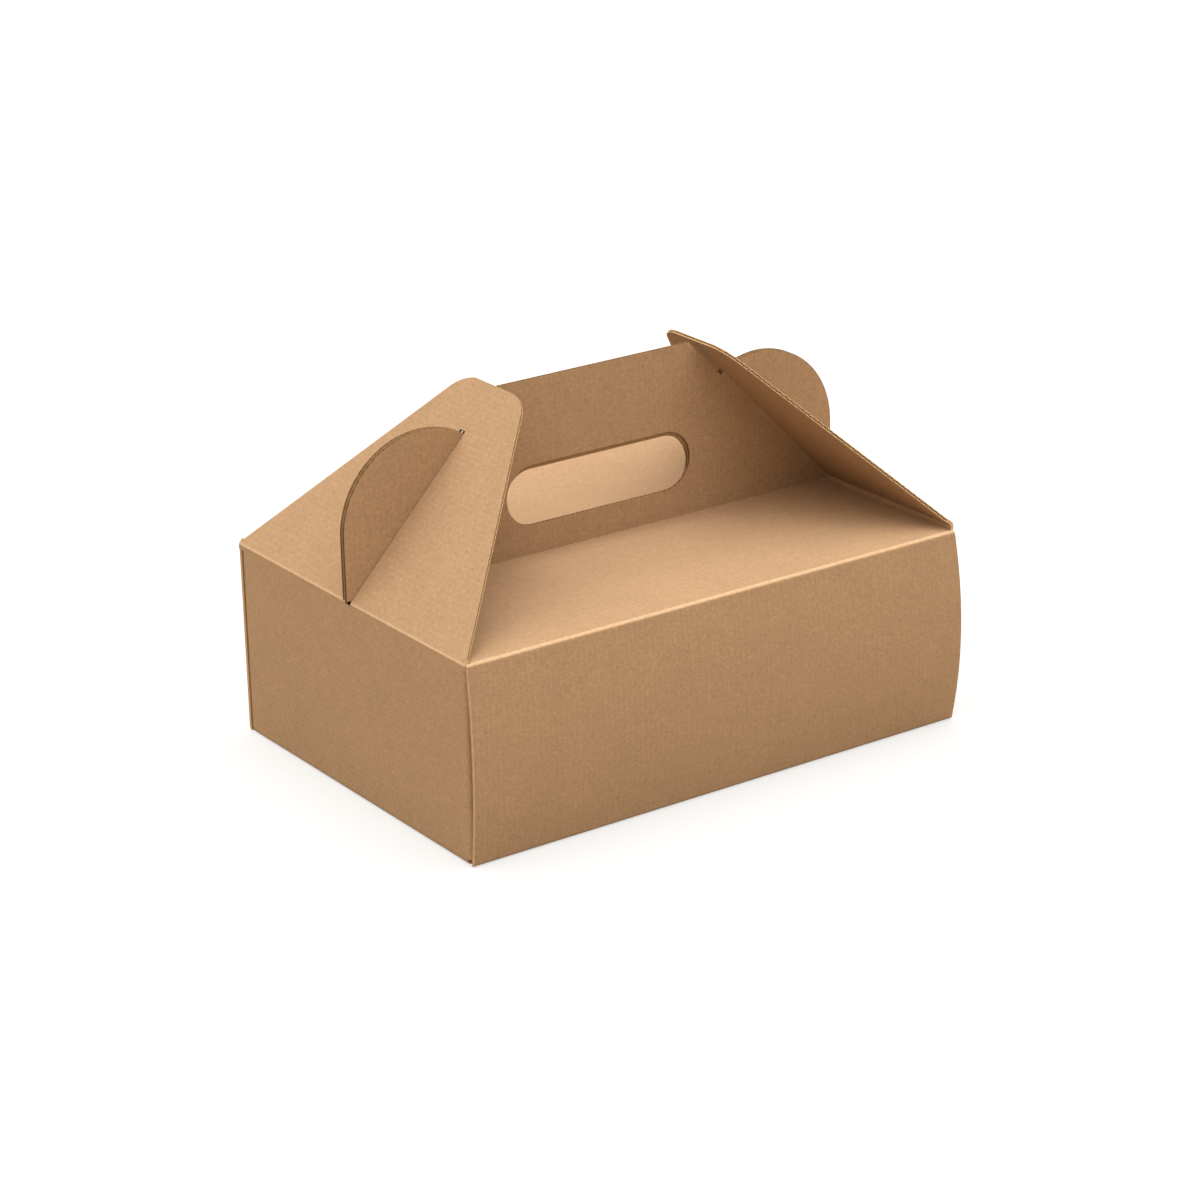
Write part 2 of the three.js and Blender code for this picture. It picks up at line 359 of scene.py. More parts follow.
def grain(tree, millimetres, scale, detail, roughness, stretch, swing):
    """Noise that swings round 1."""
    noise = blotches(tree, millimetres, scale, detail, roughness, stretch)
    return between(tree, noise, *NOISE_RANGE, 1 - swing, 1 + swing)


def specks(tree, millimetres, cell, radius, share, tone):
    """A tone in scattered round dots, and 1 elsewhere. Only a share of the cells has a dot."""
    cells = add_node(
        tree, "ShaderNodeTexVoronoi", {"Vector": millimetres, "Scale": 1 / cell, "Randomness": 1.0}
    )
    edge, core = radius / cell, SPECK_CORE * radius / cell
    dot = between(tree, cells.outputs["Distance"], edge, core, 0.0, 1.0)
    lottery = add_node(tree, "ShaderNodeSeparateColor", {0: cells.outputs["Color"]})
    drawn = combine(tree, "LESS_THAN", lottery.outputs[0], share)
    return between(tree, product(tree, dot, drawn), 0, 1, 1.0, tone)


def kraft(name, colour, across, ridges=1.0, fuzz=1.0):
    material = bpy.data.materials.new(name)
    tree = empty_tree(material)
    spot = kraft_coordinates(tree, across)

    axes = add_node(tree, "ShaderNodeSeparateXYZ", {0: spot})
    phase = combine(tree, "MULTIPLY", axes.outputs["X"], 2 * math.pi / FLUTE_PITCH)
    wave = combine(tree, "SINE", phase, 0.0)
    shade = RIDGE_SHADE * ridges
    fibres = grain(tree, spot, *FIBRES)
    tone = product(
        tree,
        grain(tree, spot, *CLOUDS),
        grain(tree, spot, *MOTTLE),
        fibres,
        between(tree, wave, -1, 1, 1 - shade, 1 + shade),
        specks(tree, spot, *DARK_SPECKS),
        specks(tree, spot, *PALE_SPECKS),
    )
    tinted = add_node(
        tree, "ShaderNodeVectorMath", {0: linear(colour)[:3], 3: tone}, operation="SCALE"
    )

    height = combine(tree, "MULTIPLY", wave, RIDGE_HEIGHT * ridges)
    grit = combine(tree, "MULTIPLY", blotches(tree, spot, *GRIT), GRIT_HEIGHT * fuzz)
    relief = add_node(
        tree,
        "ShaderNodeBump",
        {"Height": combine(tree, "ADD", height, grit), "Strength": 1.0, "Distance": MM},
    )
    swing = FIBRES[-1]
    paper = add_node(
        tree,
        "ShaderNodeBsdfPrincipled",
        {
            "Base Color": tinted.outputs[0],
            "Roughness": between(tree, fibres, 1 - swing, 1 + swing, *ROUGHNESS),
            "Normal": relief.outputs[0],
            "IOR": 1.45,
            "Specular IOR Level": 0.25,
        },
    )
    add_node(tree, "ShaderNodeOutputMaterial", {"Surface": paper.outputs[0]})
    return material


# the liner's face, and a lighter one for folds: partly stretched paper, partly a painted highlight
LINER = "#ab8a69"
FOLD_STRETCH_AND_HIGHLIGHT = "#c8a682"
# cut edges with the strip's core, and the wavy paper with the end walls' core
CUT = "#c8a67e"
MEDIUM = "#b08c60"
# cut edges and wavy paper in the handle, painted darker as shade: its flutes run up and down, so
# the sides of its ears and of its hole look into dark grooves
HANDLE_CUT_PAINTED_SHADE = "#8d6b45"
HANDLE_MEDIUM_PAINTED_SHADE = "#6f5030"

liners = {
    "along_x": kraft("kraft_liner_ridges_along_x", LINER, "along_x"),
    "along_z": kraft("kraft_liner_ridges_along_z", LINER, "along_z"),
    "left_slope": kraft("kraft_liner_left_slope", LINER, "left_slope"),
    "right_slope": kraft("kraft_liner_right_slope", LINER, "right_slope"),
}
# the lighter fold liner: partly stretched paper, partly a painted highlight
fold_stretch_and_highlight = kraft("fold_liner_stretched_and_painted_highlight", FOLD_STRETCH_AND_HIGHLIGHT, "along_x", ridges=0.0)
cut_edge = kraft("die_cut_paper_edge", CUT, "along_x", ridges=0.0, fuzz=2.0)
medium = kraft("fluting_paper", MEDIUM, "along_x", ridges=0.0)
# edge papers for the handle, darkened with painted shade
handle_edge_painted_shade = kraft("die_cut_paper_edge_painted_shade", HANDLE_CUT_PAINTED_SHADE, "along_x", ridges=0.0, fuzz=2.0)
handle_medium_painted_shade = kraft("fluting_paper_painted_shade", HANDLE_MEDIUM_PAINTED_SHADE, "along_x", ridges=0.0)
print("materials:", [m.name for m in bpy.data.materials])

# %% [markdown]
# ## Working by hand, in code
#
# Each piece is modelled as it would be by hand: add a primitive, go into edit mode, select part of
# it and extrude, bevel or move that. The helpers below do the clicking. They select a piece,
# select its parts by where they are, and cut one shape with another, like the steel rule die that
# stamps a real carton out of its sheet.

# %% Modelling helpers
# two points closer than this are the same one
NEAR = 0.01
FOLD_SEGMENTS = 8
ROUND_SEGMENTS = 16

# half depths of a die and of a block that cuts one, how far waste reaches past the box, and half
# the width of a cut that goes right across
DIE = 4.0
PAST_DIE = 9.0
SPARE = 20.0
FAR = 400.0


def only(piece):
    bpy.ops.object.select_all(action="DESELECT")
    piece.select_set(True)
    bpy.context.view_layer.objects.active = piece


def settle():
    """Applies the place, turn and scale of the selected piece to its mesh."""
    bpy.ops.object.transform_apply(location=True, rotation=True, scale=True)


def block(name, low, high):
    """A box between two corners, in millimetres."""
    bpy.ops.object.select_all(action="DESELECT")
    low, high = Vector(low) * MM, Vector(high) * MM
    bpy.ops.mesh.primitive_cube_add(size=1, location=(low + high) / 2, scale=high - low)
    piece = bpy.context.object
    piece.name = name
    settle()
    return piece


def sheet(name, size, location, upright=False):
    """A flat piece left in edit mode: its size is in millimetres, its location in metres."""
    bpy.ops.object.select_all(action="DESELECT")
    turn = (math.pi / 2 if upright else 0, 0, 0)
    bpy.ops.mesh.primitive_plane_add(size=1, rotation=turn, location=location)
    piece = bpy.context.object
    piece.name = name
    piece.scale = (size[0] * MM, size[1] * MM, 1)
    settle()
    bpy.ops.object.mode_set(mode="EDIT")
    return piece


def pick(kind, wanted):
    """Selects the vertices, edges or faces whose middle, in millimetres, is wanted."""
    bpy.ops.mesh.select_mode(type=kind)
    bpy.ops.mesh.select_all(action="DESELECT")
    shape = bmesh.from_edit_mesh(bpy.context.object.data)
    parts = {"VERT": shape.verts, "EDGE": shape.edges, "FACE": shape.faces}[kind]
    for part in parts:
        corners = [part.co] if kind == "VERT" else [v.co for v in part.verts]
        middle = sum(corners, Vector()) / len(corners) / MM
        reach = max((c / MM - middle).length for c in corners)
        if wanted(middle, reach):
            part.select_set(True)
    shape.select_flush_mode()
    bmesh.update_edit_mesh(bpy.context.object.data)


def pull(millimetres):
    """Extrudes what is selected in edit mode and moves it."""
    move = {"value": Vector(millimetres) * MM}
    bpy.ops.mesh.extrude_region_move(TRANSFORM_OT_translate=move)


def push(x, y, z):
    """Moves what is selected in edit mode, in millimetres."""
    bpy.ops.transform.translate(value=(x * MM, y * MM, z * MM))


def bevel(millimetres, segments):
    """Bevels the edges that are selected in edit mode."""
    bpy.ops.mesh.bevel(offset=millimetres * MM, segments=segments, affect="EDGES")


def turn_towards(direction, wanted):
    """Flips the surface in edit mode, unless the faces that are wanted look in a direction."""
    pick("FACE", wanted)
    shape = bmesh.from_edit_mesh(bpy.context.object.data)
    face = next(f for f in shape.faces if f.select)
    if face.normal.dot(Vector(direction)) < 0:
        bpy.ops.mesh.select_all(action="SELECT")
        bpy.ops.mesh.flip_normals()


def cut(piece, die, how="DIFFERENCE"):
    only(piece)
    step = piece.modifiers.new("die", "BOOLEAN")
    step.operation = how
    step.object = die
    step.solver = "EXACT"
    bpy.ops.object.modifier_apply(modifier=step.name)


def thicken(piece, millimetres, offset):
    only(piece)
    step = piece.modifiers.new("paper", "SOLIDIFY")
    step.thickness = millimetres * MM
    step.offset = offset
    step.use_even_offset = True
    bpy.ops.object.modifier_apply(modifier=step.name)


def remove(*pieces):
    for piece in pieces:
        bpy.data.objects.remove(piece)


def joined(name, parts):
    bpy.ops.object.select_all(action="DESELECT")
    for part in parts:
        part.select_set(True)
    bpy.context.view_layer.objects.active = parts[0]
    bpy.ops.object.join()
    parts[0].name = name
    return parts[0]


def surfaces(piece, *rules):
    """Gives the faces of a piece their materials: the first rule that fits a face counts."""
    slots = piece.data.materials
    slots.clear()
    for material, _ in rules:
        slots.append(material)
    for face in piece.data.polygons:
        for slot, (_, wanted) in enumerate(rules):
            if wanted is None or wanted(face.normal, face.center / MM):
                face.material_index = slot
                break


def closed(piece):
    """Counts the edges that don't join exactly two faces: 0 on a closed shell."""
    shape = bmesh.new()
    shape.from_mesh(piece.data)
    loose = sum(len(edge.link_faces) != 2 for edge in shape.edges)
    volume = shape.calc_volume(signed=True) * 1e9
    shape.free()
    return f"{piece.name}: {len(piece.data.polygons)} faces, {loose} open edges, {volume:.0f} mm3"


# %% [markdown]
# ## The board
#
# E-flute board is two liners with a wave of thinner paper between them. The papers are made a
# little thicker here than real ones, so that a cut edge looks as light as in the photo. A flat
# piece of board is made lying down, flutes along Y, and a die then cuts it out. One flute is
# shaped from a strip of eight narrow faces, lifted and lowered column by column, and an Array
# modifier repeats it, as the fluting roll does.

# %% Fluted board
LINER_PAPER = 0.38
MEDIUM_PAPER = 0.26
CORE = BOARD - 2 * LINER_PAPER
WAVE = (CORE - MEDIUM_PAPER) / 2
FLUTE_COLUMNS = 8
FLUTE_WELD = 1e-5


def fluting(name, left, right, low, high):
    """Wavy paper between two X values, its flutes running from low to high in Y."""
    bpy.ops.object.select_all(action="DESELECT")
    bpy.ops.mesh.primitive_grid_add(
        x_subdivisions=FLUTE_COLUMNS,
        y_subdivisions=1,
        size=1,
        location=((left + FLUTE_PITCH / 2) * MM, (low + high) / 2 * MM, 0),
    )
    piece = bpy.context.object
    piece.name = name
    piece.scale = (FLUTE_PITCH * MM, (high - low) * MM, 1)
    settle()
    bpy.ops.object.mode_set(mode="EDIT")
    for column in range(FLUTE_COLUMNS + 1):
        across = left + FLUTE_PITCH * column / FLUTE_COLUMNS
        pick("VERT", lambda at, _: abs(at.x - across) < NEAR)
        push(0, 0, WAVE * math.sin(2 * math.pi * column / FLUTE_COLUMNS))
    bpy.ops.object.mode_set(mode="OBJECT")
    row = piece.modifiers.new("flutes", "ARRAY")
    row.count = math.ceil((right - left) / FLUTE_PITCH)
    row.relative_offset_displace = (1, 0, 0)
    row.use_merge_vertices = True
    row.merge_threshold = FLUTE_WELD
    bpy.ops.object.modifier_apply(modifier=row.name)
    thicken(piece, MEDIUM_PAPER, 0)
    return piece


def fluted_board(name, left, right, low, high, die, liner, edge, wavy_paper):
    """Two liners and their fluting, cut out by a die. The middle of the board is at Z = 0."""
    upper = block(name, (left, low, CORE / 2), (right, high, HALF_BOARD))
    lower = block(name + "_under", (left, low, -HALF_BOARD), (right, high, -CORE / 2))
    for paper in (upper, lower):
        cut(paper, die, "INTERSECT")
        surfaces(paper, (liner, lambda normal, _: abs(normal.z) > 0.5), (edge, None))
    wave = fluting(name + "_wave", left, right, low, high)
    cut(wave, die, "INTERSECT")
    surfaces(wave, (wavy_paper, None))
    print(closed(upper), "|", closed(wave))
    return joined(name, [upper, lower, wave])


# %% [markdown]
# ## The handle
#
# The handle is two panels back to back, and the back one stands a little lower. Each has a
# straight top, ends that slant under the flaps, a round ear past each end, and a long hand hole.
# Their outline is the die: a block whose top is narrowed gives the slanted ends, and a disc and a
# small foot are added for each ear.

# %% Sizes of the handle
HANDLE_RISE = 97.8
# the fluted panels start this far above the lid, and the strip's own legs reach up to there
HANDLE_BASE = 0.5
EAR_SPAN = HALF_LENGTH + 1.5
EAR_RADIUS = 49.5
EAR_RISE = 34.0
EAR_FACETS = 128
# the slanted ends lie this far inside a line that leaves the box's upper corner at the flap's slope
SETBACK = 2.3
BACK_DROP = 2.9
PANEL_GAP = 0.5
HOLE_LENGTH = 120.0
HOLE_HEIGHT = 33.5
HOLE_RISE = 33.6
HOLE_OFFSET = 1.4


def slanted_end(rise):
    """Half length of the handle at a height above the lid, along its slanted ends."""
    from_crease = SETBACK / math.sin(FLAP_ANGLE)
    return HALF_LENGTH - from_crease - rise / math.tan(FLAP_ANGLE)


# %% Die of the handle
def handle_die(drop):
    low, high = slanted_end(HANDLE_BASE), slanted_end(HANDLE_RISE)
    die = block("handle_die", (-low, HANDLE_BASE, -DIE), (low, HANDLE_RISE, DIE))
    bpy.ops.object.mode_set(mode="EDIT")
    pick("VERT", lambda at, _: at.y > HANDLE_RISE - 1)
    bpy.ops.transform.resize(value=(high / low, 1, 1), center_override=(0, 0, 0))
    bpy.ops.object.mode_set(mode="OBJECT")
    below = block("below", (-FAR, -FAR, -PAST_DIE), (FAR, HANDLE_BASE, PAST_DIE))
    for side in (-1, 1):
        middle = side * (EAR_SPAN - EAR_RADIUS)
        bpy.ops.mesh.primitive_cylinder_add(
            vertices=EAR_FACETS,
            radius=EAR_RADIUS * MM,
            depth=2 * DIE * MM,
            location=(middle * MM, EAR_RISE * MM, 0),
        )
        disc = bpy.context.object
        settle()
        ends = sorted((middle, side * EAR_SPAN))
        foot = block("foot", (ends[0], HANDLE_BASE, -DIE), (ends[1], EAR_RISE, DIE))
        cut(disc, below)
        cut(die, disc, "UNION")
        cut(die, foot, "UNION")
        remove(disc, foot)
    remove(below)
    if drop:
        above = block("above", (-FAR, HANDLE_RISE - drop, -PAST_DIE), (FAR, FAR, PAST_DIE))
        cut(die, above)
        remove(above)
    hole = hand_hole(HOLE_RISE - drop)
    cut(die, hole)
    remove(hole)
    return die


def hand_hole(rise):
    """A slot with round ends: a block whose four upright edges are bevelled to half circles."""
    half_length, half_height = HOLE_LENGTH / 2, HOLE_HEIGHT / 2
    hole = block(
        "hand_hole",
        (HOLE_OFFSET - half_length, rise - half_height, -PAST_DIE),
        (HOLE_OFFSET + half_length, rise + half_height, PAST_DIE),
    )
    bpy.ops.object.mode_set(mode="EDIT")
    pick("EDGE", lambda at, reach: abs(at.z) < 0.1 and reach > PAST_DIE - 0.1)
    # a hair less than half the height, so that the faces between two bevels don't vanish
    bevel(half_height - 0.01, ROUND_SEGMENTS)
    bpy.ops.object.mode_set(mode="OBJECT")
    return hole


# %% Handle panels
# the board that the die cuts reaches this far past it
SELVAGE = 2.0


def handle_panel(name, y, drop):
    die = handle_die(drop)
    end = EAR_SPAN + SELVAGE
    # the handle's edges and wavy paper are painted darker as shade
    papers = (liners["along_x"], handle_edge_painted_shade, handle_medium_painted_shade)
    panel = fluted_board(name, -end, end, -SELVAGE, HANDLE_RISE + SELVAGE, die, *papers)
    remove(die)
    only(panel)
    panel.rotation_euler = (math.pi / 2, 0, 0)
    panel.location = Vector((0, y + SHIFT_Y, LID_HEIGHT)) * MM
    settle()
    return panel


PANEL_MID = PANEL_GAP / 2 + HALF_BOARD
front_handle = handle_panel("front_handle_panel", -PANEL_MID, 0.0)
back_handle = handle_panel("back_handle_panel", PANEL_MID, BACK_DROP)

# %% [markdown]
# ## The folded strip
#
# Lid, wall, base, wall and lid are one length of board. It is folded the way a sheet metal part is
# drawn: the first leg is a plane, its edge is extruded from corner to corner, the corner edges are
# bevelled to the radius of the fold, and the surface is then given its thickness. Each liner is
# made so, at its own distance from the middle of the board. The flutes can't be seen here, so a
# plain core fills the board between the liners, set back a little from the cut edges.

# %% Path of the strip
LID_FOOT = LID_HEIGHT + HANDLE_BASE
# the front wall runs from corner 2 of the path, counted from 0, and bellies out in rows
FRONT_WALL_LEG = 2
BELLY_ROWS = 12
WALL_SPAN = LID_HEIGHT - LID_FOLD - BASE_FOLD


def strip_path(out):
    """Corners of the strip in (y, z) with their fold radii, at a distance out of its middle."""
    near, far = PANEL_MID + out, HALF_WIDTH - HALF_BOARD + out
    top, low = LID_HEIGHT - HALF_BOARD + out, HALF_BOARD - out
    foot = HANDLE_FOOT + HALF_BOARD - out
    lid, base = LID_FOLD - HALF_BOARD + out, BASE_FOLD - HALF_BOARD + out
    front = [(-near, LID_FOOT, 0), (-near, top, foot), (-far, top, lid), (-far, low, base)]
    back = [(far, low, base), (far, top + BACK_RISE, lid), (near, top, foot), (near, LID_FOOT, 0)]
    return front + back


def belly(share, z):
    """How far the front wall bellies out at a height: share runs from the left end to the right."""
    up = (z - BASE_FOLD) / WALL_SPAN
    return 4 * up * (1 - up) * (BELLY_LEFT + (BELLY_RIGHT - BELLY_LEFT) * share)


# %% Folding a strip
def folded_strip(name, out, half_length, thickness, inwards):
    """The strip's surface at a distance out of its middle, thickened away from where it looks."""
    path = strip_path(out)
    (y, start, _), (_, end, _) = path[:2]
    middle = (0, y * MM, (start + end) / 2 * MM)
    strip = sheet(name, (2 * half_length, start - end), middle, upright=True)
    pick("VERT", lambda at, _: abs(at.z - end) < NEAR)
    for leg in range(1, len(path) - 1):
        (ya, za, _), (yb, zb, _) = path[leg : leg + 2]
        stops = [(yb, zb)]
        if leg == FRONT_WALL_LEG:
            rows = [1 - row / BELLY_ROWS for row in range(1, BELLY_ROWS)]
            stops = [(ya, BASE_FOLD + WALL_SPAN * row) for row in rows] + stops
        for y, z in stops:
            pull((0, y - ya, z - za))
            ya, za = y, z
    for y, z, radius in path[1:-1]:
        corner = Vector((0, y, z))
        pick("EDGE", lambda at, _: (at - corner).length < NEAR)
        bevel(radius, FOLD_SEGMENTS)
    front_y, base_z = path[FRONT_WALL_LEG][0], path[FRONT_WALL_LEG + 1][1]
    push_belly(front_y, half_length)
    looks = (0, 0, 1 if inwards else -1)
    turn_towards(looks, lambda at, _: abs(at.z - base_z) < NEAR and abs(at.y) < 1)
    bpy.ops.object.mode_set(mode="OBJECT")
    thicken(strip, thickness, -1)
    return strip


def push_belly(wall, half_length):
    """Moves both ends of each row of the front wall out; the row stays straight between them."""
    for row in range(1, BELLY_ROWS):
        z = BASE_FOLD + WALL_SPAN * row / BELLY_ROWS
        for side in (-1, 1):
            share = (side * half_length / HALF_LENGTH + 1) / 2
            end = Vector((side * half_length, wall, z))
            pick("VERT", lambda at, _: (at - end).length < NEAR)
            push(0, -belly(share, z), 0)


# %% Trimming the strip
WALL_END = HALF_LENGTH - TOUCH_GAP
WALL_END_DROP = 3.5
# the flaps end this far in front of the middle, so the front fold can run on past them
FLAP_NEAR_END = 110.65
# a little short of the base's flat part, so that the cut doesn't meet the fold's first edge
BASE_FLAT = HALF_WIDTH - BASE_FOLD - 0.05


def lid_end(rise):
    """Half length of the lid towards one end: short of the end wall and of the flap over it."""
    under_flap = HALF_BOARD + TOUCH_GAP + (HALF_BOARD - rise) * math.cos(FLAP_ANGLE)
    return HALF_LENGTH - max(HALF_BOARD + under_flap / math.sin(FLAP_ANGLE), BOARD + TOUCH_GAP)


def trim_ends(strip, recess):
    """Cuts both lid halves short of the flaps, and the base short of the end walls' folds."""
    wall_top, above = LID_HEIGHT - WALL_END_DROP, LID_HEIGHT + SPARE
    base = HALF_LENGTH - BASE_FOLD - recess
    for side, rise in ((-1, 0.0), (1, RIGHT_CREASE_RISE)):
        outside = side * (EAR_SPAN + PAST_DIE)
        lid = lid_end(rise) - recess
        # the back lid half climbs under the sloping flap, so its end slants towards the back
        lean = (lid_end(rise - BACK_RISE) - lid_end(rise)) / HALF_WIDTH
        for reach, front, back, low, high, slant in (
            (lid, -FLAP_NEAR_END, 0, wall_top, above, 0.0),
            (lid, 0, HALF_WIDTH + SPARE, wall_top, above, lean),
            (base, -BASE_FLAT, BASE_FLAT, -PAST_DIE, PAST_DIE, 0.0),
        ):
            ends = sorted((side * reach, outside))
            waste = block("waste", (ends[0], front, low), (ends[1], back, high))
            if slant:
                bpy.ops.object.mode_set(mode="EDIT")
                pick("VERT", lambda at, _: at.y > back - 1 and abs(at.x - side * reach) < NEAR)
                push(side * slant * back, 0, 0)
                bpy.ops.object.mode_set(mode="OBJECT")
            cut(strip, waste)
            remove(waste)


# %% The strip
CORE_RECESS = 0.15


# the upper part of the lid's folds, which turns up to the light and gets the painted highlight
def lid_fold_stretch_and_highlight_faces(normal, at):
    return at.z > LID_HEIGHT - LID_FOLD and 0.05 < abs(normal.y) < 0.8 and abs(at.y) > 20


def make_strip():
    parts = []
    for name, out, inwards in (
        ("folded_strip", HALF_BOARD, False),
        ("folded_strip_inner", -HALF_BOARD, True),
    ):
        paper = folded_strip(name, out, WALL_END, LINER_PAPER, inwards)
        trim_ends(paper, 0.0)
        surfaces(
            paper,
            (cut_edge, lambda normal, _: abs(normal.x) > 0.7),
            (fold_stretch_and_highlight, lid_fold_stretch_and_highlight_faces),
            (liners["along_x"], None),
        )
        print(closed(paper))
        parts.append(paper)
    core = folded_strip("strip_core", CORE / 2, WALL_END - CORE_RECESS, CORE, False)
    trim_ends(core, CORE_RECESS)
    surfaces(core, (cut_edge, None))
    print(closed(core))
    strip = joined("folded_strip", parts + [core])
    only(strip)
    strip.location = (0, SHIFT_Y * MM, 0)
    settle()
    return strip


strip = make_strip()

# %% [markdown]
# ## End walls
#
# Each end wall stands on a fold of the base, and a tab at each of its sides turns the corner and
# lies behind the front or back wall. Seen from above it is a wide U, so it is drawn like the strip:
# legs extruded from corner to corner, bevelled and thickened. A short second strip makes the fold
# at its foot.

# %% Sizes of the end walls
TAB_FACE = HALF_WIDTH - BOARD - TOUCH_GAP
TAB_LENGTH = 62.0
TAB_TAPER = 6.0
TAB_FOOT_GAP = 1.2
TAB_TOP_GAP = 0.6
TAB_FOOT = BOARD + TAB_FOOT_GAP
TAB_TOP = LID_HEIGHT - BOARD - TAB_TOP_GAP
# nearer the middle of the box than the tabs' free ends
PAST_TABS = 60.0
WALL_STRAIGHT = TAB_FACE - CORNER_FOLD
# the crease strip covers this much of the board on each side of the hinge line
CREASE_HALF = 3.0
# the foot starts just outside the base's end, and its bevel is just smaller than its plane
FOOT_GAP = 0.02
FOOT_SPARE = 0.03


# %% End walls
def upright_u(name, side, inset, thickness, top, inwards):
    """The U of an end wall, at a distance inside its outer face."""
    x, y = side * (HALF_LENGTH - inset), TAB_FACE - inset
    free = side * (HALF_LENGTH - TAB_LENGTH)
    middle = Vector(((x + free) / 2, -y, (TAB_FOOT + top) / 2)) * MM
    wall = sheet(name, (abs(x - free), top - TAB_FOOT), middle, upright=True)
    pick("VERT", lambda at, _: abs(at.x - x) < NEAR)
    pull((0, 2 * y, 0))
    pull((free - x, 0, 0))
    pick("EDGE", lambda at, _: abs(at.x - x) < NEAR and abs(abs(at.y) - y) < NEAR)
    bevel(CORNER_FOLD - inset, FOLD_SEGMENTS)
    for end, taper in ((top, -TAB_TAPER), (TAB_FOOT, TAB_TAPER)):
        pick("VERT", lambda at, _: abs(at.x - free) < NEAR and abs(at.z - end) < NEAR)
        push(0, 0, taper)
    looks = (-side if inwards else side, 0, 0)
    turn_towards(looks, lambda at, _: abs(at.x - x) < NEAR)
    bpy.ops.object.mode_set(mode="OBJECT")
    thicken(wall, thickness, -1)
    return wall


def foot_fold(name, side, inset, thickness, inwards):
    """The fold that joins an end wall to the base."""
    x, z = side * (HALF_LENGTH - inset), inset
    start = side * (HALF_LENGTH - BASE_FOLD + FOOT_GAP)
    middle = ((x + start) / 2 * MM, 0, z * MM)
    foot = sheet(name, (abs(x - start), 2 * WALL_STRAIGHT), middle)
    pick("VERT", lambda at, _: abs(at.x - x) < NEAR)
    pull((0, 0, TAB_FOOT - z))
    pick("EDGE", lambda at, _: abs(at.x - x) < NEAR and abs(at.z - z) < NEAR)
    bevel(BASE_FOLD - inset - FOOT_SPARE, FOLD_SEGMENTS)
    looks = (-side if inwards else side, 0, 0)
    turn_towards(looks, lambda at, _: abs(at.x - x) < NEAR)
    bpy.ops.object.mode_set(mode="OBJECT")
    thicken(foot, thickness, -1)
    return foot


def end_wall(name, side, crease_height):
    top = crease_height - HALF_BOARD - CREASE_HALF
    ends = sorted((side * (HALF_LENGTH - BOARD), side * PAST_TABS))
    above_tabs = block(
        "above_tabs", (ends[0], -HALF_WIDTH, TAB_TOP), (ends[1], HALF_WIDTH, LID_HEIGHT + SPARE)
    )
    parts = []
    for layer, inset, thickness, inwards in (
        ("outer", 0.0, LINER_PAPER, False),
        ("inner", BOARD, LINER_PAPER, True),
        ("core", LINER_PAPER, CORE, False),
    ):
        for part in (
            upright_u(f"{name}_{layer}", side, inset, thickness, top, inwards),
            foot_fold(f"{name}_{layer}_foot", side, inset, thickness, inwards),
        ):
            cut(part, above_tabs)
            surfaces(
                part,
                (medium, lambda *_: layer == "core"),
                (cut_edge, lambda normal, at: abs(normal.z) > 0.7 and at.z > 2),
                (cut_edge, lambda normal, at: abs(at.x) < HALF_LENGTH - TAB_LENGTH + 0.1),
                (liners["along_z"], None),
            )
            print(closed(part))
            parts.append(part)
    remove(above_tabs)
    wall = joined(name, parts)
    only(wall)
    wall.location = (0, SHIFT_Y * MM, 0)
    settle()
    return wall


left_wall = end_wall("left_end_wall", -1, LEFT_CREASE)
right_wall = end_wall("right_end_wall", 1, RIGHT_CREASE)

# %% [markdown]
# ## End flaps
#
# A flap is a trapezoid with two round corners at its tip and a slit up its middle. It is cut from
# flat board, lying along +X from its crease at the origin, and is then tilted and moved to the
# crease. Its flutes run along the crease, so that the slanted edges cut through them and show a
# row of small dark openings.

# %% Sizes of the flaps
FLAP_REACH = 136.0
FLAP_BASE = 223.0
FLAP_BASE_SHIFT = 1.0
FLAP_TIP = 54.0
FLAP_TIP_SHIFT = -1.5
TIP_RADIUS = 20.0
SLIT_TO_TIP = 28.5
SLIT_WIDTH = 5.0
# the board starts inside the crease strip, and the die trims it there
FLAP_START = 0.6


# %% Flaps
def flap_die(reach, backwards):
    """The base lies a little to the box's back and the tip to its front."""
    middle = backwards * FLAP_BASE_SHIFT
    low, high = middle - FLAP_BASE / 2, middle + FLAP_BASE / 2
    die = block("flap_die", (0, low, -DIE), (reach, high, DIE))
    bpy.ops.object.mode_set(mode="EDIT")
    pick("VERT", lambda at, _: at.x > reach - 1)
    bpy.ops.transform.resize(
        value=(1, FLAP_TIP / FLAP_BASE, 1), center_override=(0, middle * MM, 0)
    )
    tip = backwards * FLAP_TIP_SHIFT
    push(0, tip - middle, 0)
    for side in (-1, 1):
        inwards = side * (middle - tip) + (FLAP_BASE - FLAP_TIP) / 2
        lean = math.atan2(inwards, reach)
        tangent = TIP_RADIUS * math.tan((math.pi / 2 - lean) / 2)
        corner = Vector((reach, tip + side * FLAP_TIP / 2, 0))
        pick("EDGE", lambda at, _: (at - corner).length < NEAR)
        bevel(tangent, ROUND_SEGMENTS)
    bpy.ops.object.mode_set(mode="OBJECT")
    side_end = HALF_WIDTH + PAST_DIE
    crease = block("crease", (-PAST_DIE, -side_end, -PAST_DIE), (CREASE_HALF, side_end, PAST_DIE))
    slit = slit_block(-PAST_DIE, reach - SLIT_TO_TIP)
    cut(die, crease)
    cut(die, slit)
    remove(crease, slit)
    return die


def slit_block(start, end):
    return block("slit", (start, -SLIT_WIDTH / 2, -PAST_DIE), (end, SLIT_WIDTH / 2, PAST_DIE))


def hinge_at(side, crease_height):
    """The middle of a flap's hinge line, in millimetres."""
    return Vector((side * (HALF_LENGTH - HALF_BOARD), SHIFT_Y, crease_height - HALF_BOARD))


